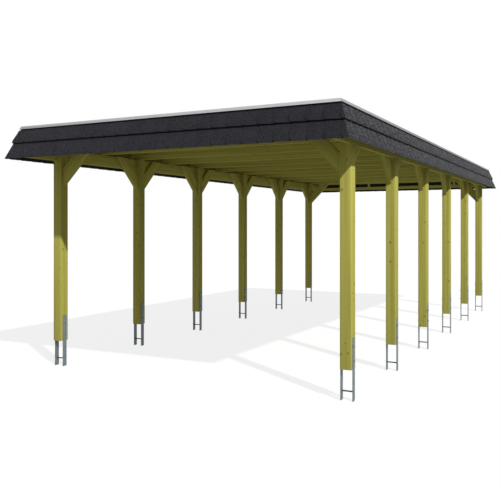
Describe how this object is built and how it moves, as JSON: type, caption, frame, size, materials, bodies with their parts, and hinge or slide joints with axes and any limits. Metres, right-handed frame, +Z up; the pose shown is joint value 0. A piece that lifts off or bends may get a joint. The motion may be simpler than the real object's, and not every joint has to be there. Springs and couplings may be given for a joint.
{
  "type": "carport",
  "caption": "Open timber carport: posts on steel H-anchors, knee-braced side beams, flat roof and a sloped dark shingle fascia.",
  "frame": {"origin": "centre of the plan, at the level of the lower ends of the anchors", "axes": "+X across the carport to the right, +Y along it from front to rear, +Z up"},
  "size_m": [4.09, 8.7, 2.778],
  "materials": {
    "treated_timber": "planed, pressure-treated green",
    "galvanised_steel": "hot-dip galvanised",
    "bitumen_shingle": "boards clad with mineral-surfaced bitumen",
    "aluminium_trim": "mill finish",
    "roof_membrane": "matt sheet"
  },
  "bodies": {
    "root": {"post_left_1": "treated_timber", "post_left_2": "treated_timber", "post_left_3": "treated_timber", "post_left_4": "treated_timber", "post_left_5": "treated_timber", "post_left_6": "treated_timber", "post_right_1": "treated_timber", "post_right_2": "treated_timber", "post_right_3": "treated_timber", "post_right_4": "treated_timber", "post_right_5": "treated_timber", "post_right_6": "treated_timber", "beam_left": "treated_timber", "beam_right": "treated_timber", "braces_left": "treated_timber", "braces_right": "treated_timber", "corner_braces": "treated_timber", "rafters": "treated_timber", "end_rafters": "treated_timber", "edge_boards": "treated_timber", "roof_boards": "treated_timber", "end_hangers": "treated_timber", "side_hangers": "treated_timber", "anchors_left": "galvanised_steel", "anchors_right": "galvanised_steel", "lower_course_front": "bitumen_shingle", "upper_course_front": "bitumen_shingle", "trim_front": "aluminium_trim", "lower_course_rear": "bitumen_shingle", "upper_course_rear": "bitumen_shingle", "trim_rear": "aluminium_trim", "lower_course_left": "bitumen_shingle", "upper_course_left": "bitumen_shingle", "trim_left": "aluminium_trim", "lower_course_right": "bitumen_shingle", "upper_course_right": "bitumen_shingle", "trim_right": "aluminium_trim", "batten_front": "treated_timber", "kerb_front": "treated_timber", "batten_rear": "treated_timber", "kerb_rear": "treated_timber", "batten_left": "treated_timber", "kerb_left": "treated_timber", "batten_right": "treated_timber", "kerb_right": "treated_timber", "roof_membrane": "roof_membrane", "end_upstands": "roof_membrane", "side_upstands": "roof_membrane"}
  },
  "joints": []
}
